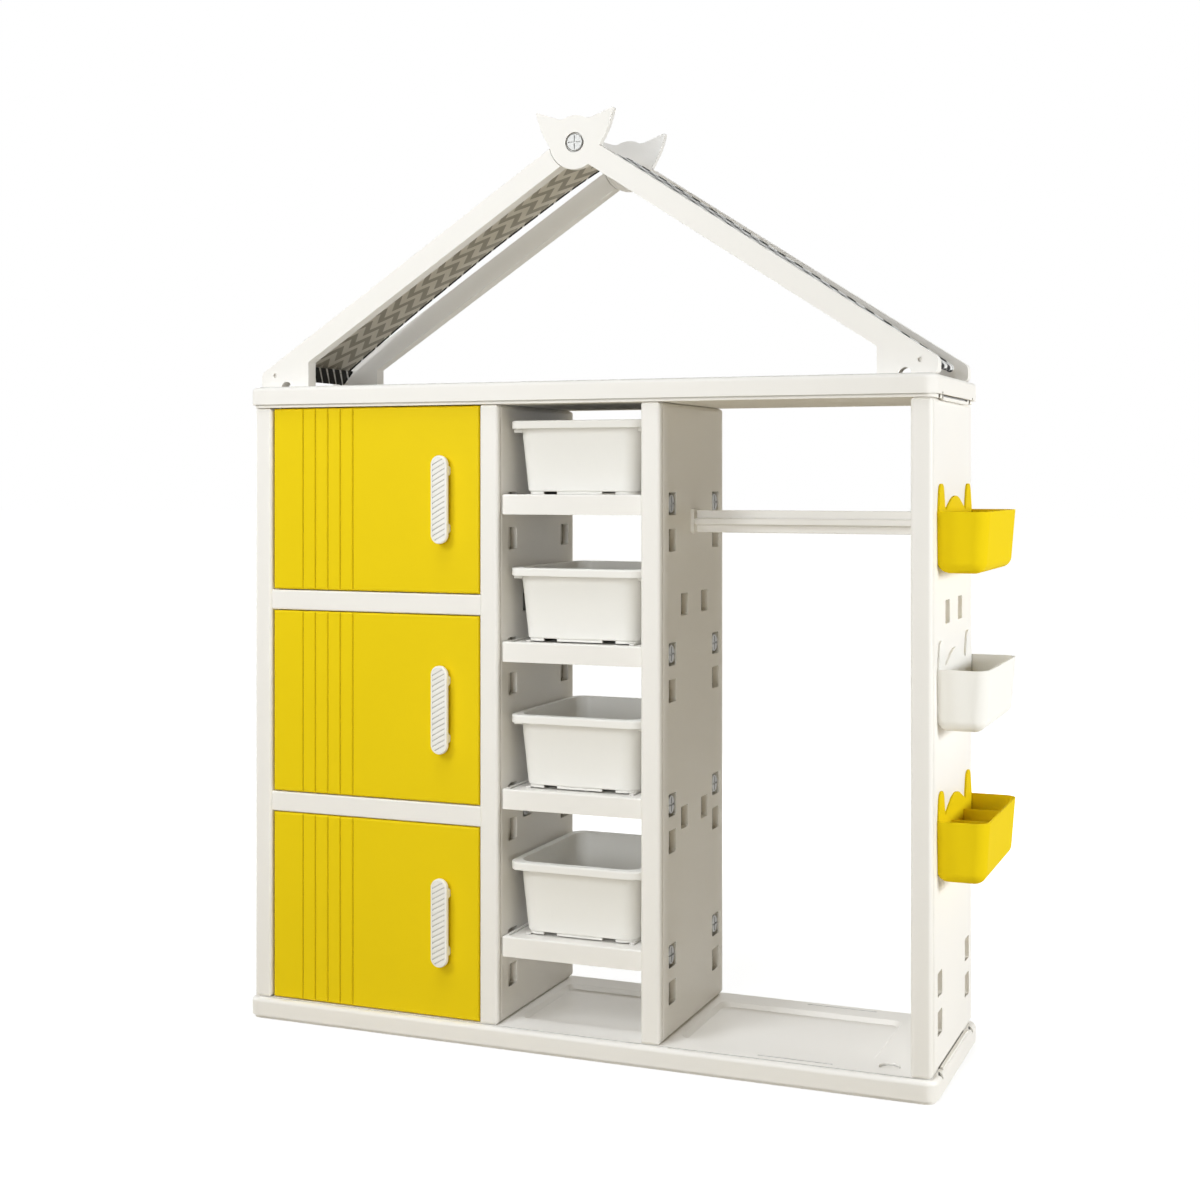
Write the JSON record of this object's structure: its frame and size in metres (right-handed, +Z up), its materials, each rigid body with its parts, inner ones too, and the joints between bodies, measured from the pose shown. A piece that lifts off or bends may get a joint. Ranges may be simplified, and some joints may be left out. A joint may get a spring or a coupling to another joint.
{
  "type": "costume storage closet",
  "caption": "House-shaped plastic costume closet: cupboard with hinged doors, pull-out bins, a hanging rail, hook-on wall baskets and a gable roof with a chevron cloth.",
  "frame": {"origin": "centre of the base plate's underside, on the floor", "axes": "+Z up, +X to the basket side (right as seen from the front), +Y to the back"},
  "size_m": [1.2685, 0.346, 1.5378],
  "materials": {
    "ivory_plastic": "satin",
    "white_plastic": "satin",
    "yellow_plastic": "satin",
    "steel": "satin",
    "chevron_cloth": "woven"
  },
  "bodies": {
    "closet": {"base_plate": "ivory_plastic", "bin_shelf_1": "ivory_plastic", "bin_shelf_2": "ivory_plastic", "bin_shelf_3": "ivory_plastic", "bin_shelf_4": "ivory_plastic", "bolts_left_partition_in": "steel", "bolts_left_partition_out": "steel", "bolts_left_side": "steel", "bolts_right_partition": "steel", "cupboard_back": "ivory_plastic", "cupboard_shelf_lower": "ivory_plastic", "cupboard_shelf_upper": "ivory_plastic", "eave_rod_left": "ivory_plastic", "eave_rod_right": "ivory_plastic", "hanging_rail": "ivory_plastic", "left_partition": "ivory_plastic", "left_side_panel": "ivory_plastic", "rafter_front_left": "ivory_plastic", "rafter_front_right": "ivory_plastic", "rafter_rear_left": "ivory_plastic", "rafter_rear_right": "ivory_plastic", "rail_socket_left": "ivory_plastic", "rail_socket_right": "ivory_plastic", "ridge_rod": "ivory_plastic", "ridge_screws": "steel", "right_partition": "ivory_plastic", "right_side_panel": "ivory_plastic", "roof_cloth": "chevron_cloth", "screws_base": "steel", "screws_top": "steel", "top_plate": "ivory_plastic"},
    "cupboard_door_lower": {"door_lower": "yellow_plastic", "handle_lower": "white_plastic", "handle_screws_lower": "steel", "hinge_pins_lower": "steel"},
    "cupboard_door_middle": {"door_middle": "yellow_plastic", "handle_middle": "white_plastic", "handle_screws_middle": "steel", "hinge_pins_middle": "steel"},
    "cupboard_door_upper": {"door_upper": "yellow_plastic", "handle_upper": "white_plastic", "handle_screws_upper": "steel", "hinge_pins_upper": "steel"},
    "pull_bin_1": {"bin_1": "white_plastic"},
    "pull_bin_2": {"bin_2": "white_plastic"},
    "pull_bin_3": {"bin_3": "white_plastic"},
    "pull_bin_4": {"bin_4": "white_plastic"},
    "wall_basket_upper": {"basket_upper": "yellow_plastic"},
    "wall_basket_middle": {"basket_middle": "white_plastic"},
    "wall_basket_lower": {"basket_lower": "yellow_plastic", "basket_dividers": "yellow_plastic"}
  },
  "joints": [
    {"name": "door_lower_hinge", "type": "hinge", "parent": "closet", "child": "cupboard_door_lower", "pos_m": [-0.547, -0.149, 0.19825], "axis": [0, 0, -1], "range_deg": [0, 105]},
    {"name": "door_middle_hinge", "type": "hinge", "parent": "closet", "child": "cupboard_door_middle", "pos_m": [-0.547, -0.149, 0.55175], "axis": [0, 0, -1], "range_deg": [0, 105]},
    {"name": "door_upper_hinge", "type": "hinge", "parent": "closet", "child": "cupboard_door_upper", "pos_m": [-0.547, -0.149, 0.901], "axis": [0, 0, -1], "range_deg": [0, 105]},
    {"name": "bin_1_slide", "type": "slide", "parent": "closet", "child": "pull_bin_1", "axis": [0, -1, 0], "range_m": [0, 0.28]},
    {"name": "bin_2_slide", "type": "slide", "parent": "closet", "child": "pull_bin_2", "axis": [0, -1, 0], "range_m": [0, 0.28]},
    {"name": "bin_3_slide", "type": "slide", "parent": "closet", "child": "pull_bin_3", "axis": [0, -1, 0], "range_m": [0, 0.28]},
    {"name": "bin_4_slide", "type": "slide", "parent": "closet", "child": "pull_bin_4", "axis": [0, -1, 0], "range_m": [0, 0.28]},
    {"name": "basket_upper_lift", "type": "slide", "parent": "closet", "child": "wall_basket_upper", "axis": [0.7071, 0, 0.7071], "range_m": [0, 0.06]},
    {"name": "basket_middle_lift", "type": "slide", "parent": "closet", "child": "wall_basket_middle", "axis": [0.7071, 0, 0.7071], "range_m": [0, 0.06]},
    {"name": "basket_lower_lift", "type": "slide", "parent": "closet", "child": "wall_basket_lower", "axis": [0.7071, 0, 0.7071], "range_m": [0, 0.06]}
  ]
}
